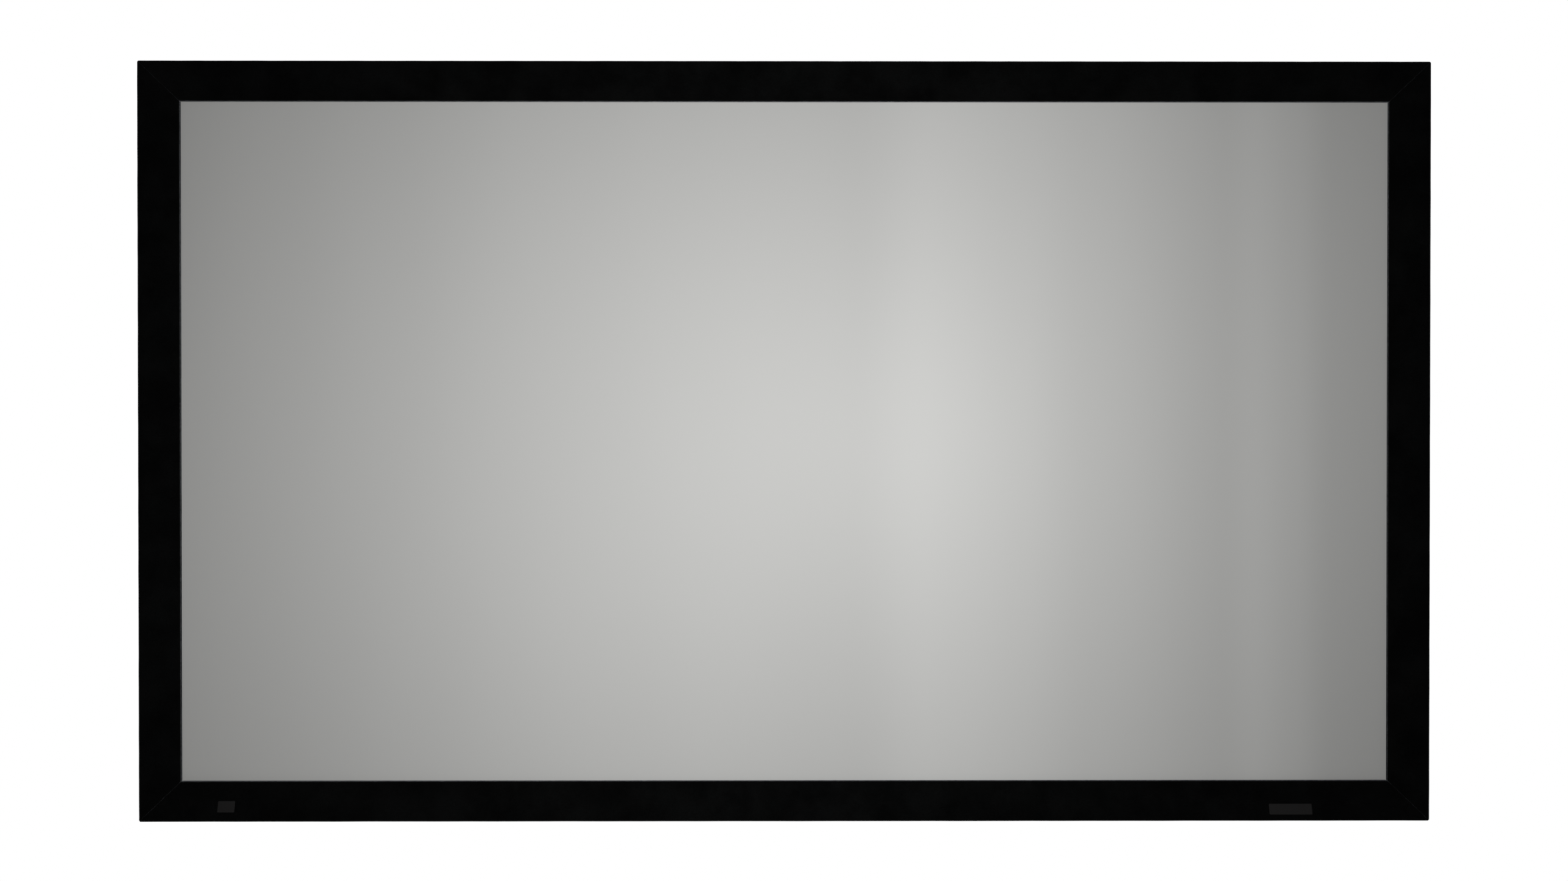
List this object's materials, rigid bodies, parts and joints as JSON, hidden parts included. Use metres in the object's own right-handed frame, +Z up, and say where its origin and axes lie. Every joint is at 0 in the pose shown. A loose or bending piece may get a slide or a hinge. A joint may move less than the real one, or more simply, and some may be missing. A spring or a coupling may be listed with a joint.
{
  "type": "fixed frame projector screen",
  "caption": "Fixed frame projector screen: a grey 16:9 membrane on press snaps behind a mitred, bevelled frame in black velvet, hung on wall hangers.",
  "frame": {"origin": "centre of the top wall hanger's back face, on the wall", "axes": "+X along the width, to the right of someone who faces the image; +Y into the wall; +Z up"},
  "size_m": [2.5908, 0.0364, 1.524],
  "materials": {
    "rail_aluminium": "mill",
    "hanger_aluminium": "mill",
    "velvet": "black velvet pile",
    "screen": "fine matte grey",
    "edge_band": "grained vinyl",
    "bracket_steel": "zinc plated",
    "screw_steel": "black oxide",
    "badge": "satin dark grey"
  },
  "bodies": {
    "root": {"rail_top": "rail_aluminium", "velvet_wrap_top": "velvet", "edge_band_top": "edge_band", "rail_right": "rail_aluminium", "velvet_wrap_right": "velvet", "edge_band_right": "edge_band", "rail_bottom": "rail_aluminium", "velvet_wrap_bottom": "velvet", "edge_band_bottom": "edge_band", "rail_left": "rail_aluminium", "velvet_wrap_left": "velvet", "edge_band_left": "edge_band", "screen_membrane": "screen", "corner_bracket_inner_top_right": "bracket_steel", "set_screw_inner_top_right_1": "screw_steel", "set_screw_inner_top_right_2": "screw_steel", "set_screw_inner_top_right_3": "screw_steel", "set_screw_inner_top_right_4": "screw_steel", "corner_bracket_outer_top_right": "bracket_steel", "set_screw_outer_top_right_1": "screw_steel", "set_screw_outer_top_right_2": "screw_steel", "set_screw_outer_top_right_3": "screw_steel", "set_screw_outer_top_right_4": "screw_steel", "corner_bracket_inner_bottom_right": "bracket_steel", "set_screw_inner_bottom_right_1": "screw_steel", "set_screw_inner_bottom_right_2": "screw_steel", "set_screw_inner_bottom_right_3": "screw_steel", "set_screw_inner_bottom_right_4": "screw_steel", "corner_bracket_outer_bottom_right": "bracket_steel", "set_screw_outer_bottom_right_1": "screw_steel", "set_screw_outer_bottom_right_2": "screw_steel", "set_screw_outer_bottom_right_3": "screw_steel", "set_screw_outer_bottom_right_4": "screw_steel", "corner_bracket_inner_bottom_left": "bracket_steel", "set_screw_inner_bottom_left_1": "screw_steel", "set_screw_inner_bottom_left_2": "screw_steel", "set_screw_inner_bottom_left_3": "screw_steel", "set_screw_inner_bottom_left_4": "screw_steel", "corner_bracket_outer_bottom_left": "bracket_steel", "set_screw_outer_bottom_left_1": "screw_steel", "set_screw_outer_bottom_left_2": "screw_steel", "set_screw_outer_bottom_left_3": "screw_steel", "set_screw_outer_bottom_left_4": "screw_steel", "corner_bracket_inner_top_left": "bracket_steel", "set_screw_inner_top_left_1": "screw_steel", "set_screw_inner_top_left_2": "screw_steel", "set_screw_inner_top_left_3": "screw_steel", "set_screw_inner_top_left_4": "screw_steel", "corner_bracket_outer_top_left": "bracket_steel", "set_screw_outer_top_left_1": "screw_steel", "set_screw_outer_top_left_2": "screw_steel", "set_screw_outer_top_left_3": "screw_steel", "set_screw_outer_top_left_4": "screw_steel", "wall_hanger_top": "hanger_aluminium", "wall_hanger_lower_left": "hanger_aluminium", "wall_hanger_lower_right": "hanger_aluminium", "badge_plate_left": "badge", "badge_plate_right": "badge"}
  },
  "joints": []
}
